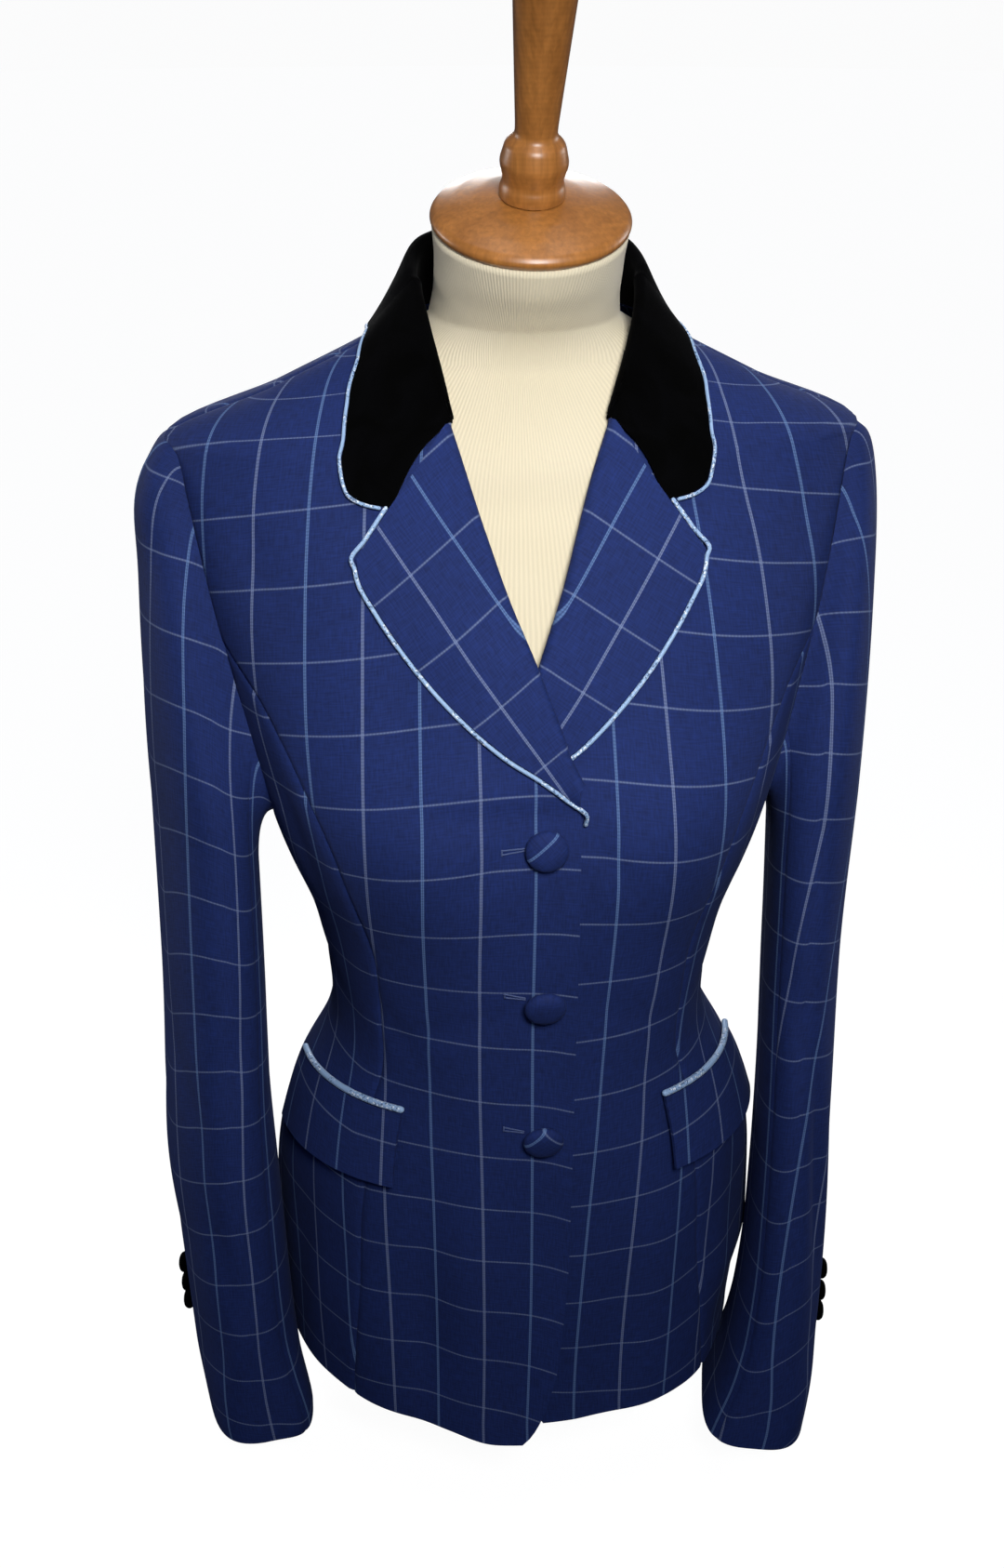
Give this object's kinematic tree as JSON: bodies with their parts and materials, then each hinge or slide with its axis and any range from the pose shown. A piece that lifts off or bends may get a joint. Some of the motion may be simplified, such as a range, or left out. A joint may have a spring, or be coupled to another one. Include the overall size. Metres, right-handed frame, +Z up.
{
  "type": "riding show coat on a dress form",
  "caption": "Fitted riding show coat with notched lapels, a velvet collar, piped edges and flap pockets, buttoned on a limbless dress form with a turned wooden neck cap and finial.",
  "frame": {"origin": "middle of the underside of the form's base", "axes": "+Z up along the form, -Y out of the coat's front, +X to the wearer's left"},
  "size_m": [0.4135, 0.2482, 0.9163],
  "materials": {
    "navy_check_wool": "fine worsted wool with a thin steel-blue and grey windowpane check",
    "black_velvet": "short cotton velvet pile",
    "blue_print_piping": "smooth cotton with a small pale print, sewn round a cord",
    "covered_button": "domed button covered with the coat's wool",
    "velvet_button": "small domed button covered with black velvet",
    "cream_jersey": "fine ribbed cotton jersey",
    "varnished_wood": "turned beech, honey-brown varnish"
  },
  "bodies": {
    "root": {"front_left": "navy_check_wool", "front_right": "navy_check_wool", "side_left": "navy_check_wool", "side_right": "navy_check_wool", "back_left": "navy_check_wool", "back_right": "navy_check_wool", "lapel_left": "navy_check_wool", "lapel_right": "navy_check_wool", "pocket_flap_left": "navy_check_wool", "pocket_flap_right": "navy_check_wool", "sleeve_top_left": "navy_check_wool", "sleeve_top_right": "navy_check_wool", "sleeve_under_left": "navy_check_wool", "sleeve_under_right": "navy_check_wool", "collar": "black_velvet", "collar_piping": "blue_print_piping", "lapel_piping_left": "blue_print_piping", "lapel_piping_right": "blue_print_piping", "pocket_piping_left": "blue_print_piping", "pocket_piping_right": "blue_print_piping", "front_button_1": "covered_button", "front_button_2": "covered_button", "front_button_3": "covered_button", "cuff_button_left_1": "velvet_button", "cuff_button_left_2": "velvet_button", "cuff_button_left_3": "velvet_button", "cuff_button_right_1": "velvet_button", "cuff_button_right_2": "velvet_button", "cuff_button_right_3": "velvet_button", "form_torso": "cream_jersey", "form_neck_cap": "varnished_wood", "form_finial": "varnished_wood", "form_base": "varnished_wood"}
  },
  "joints": []
}
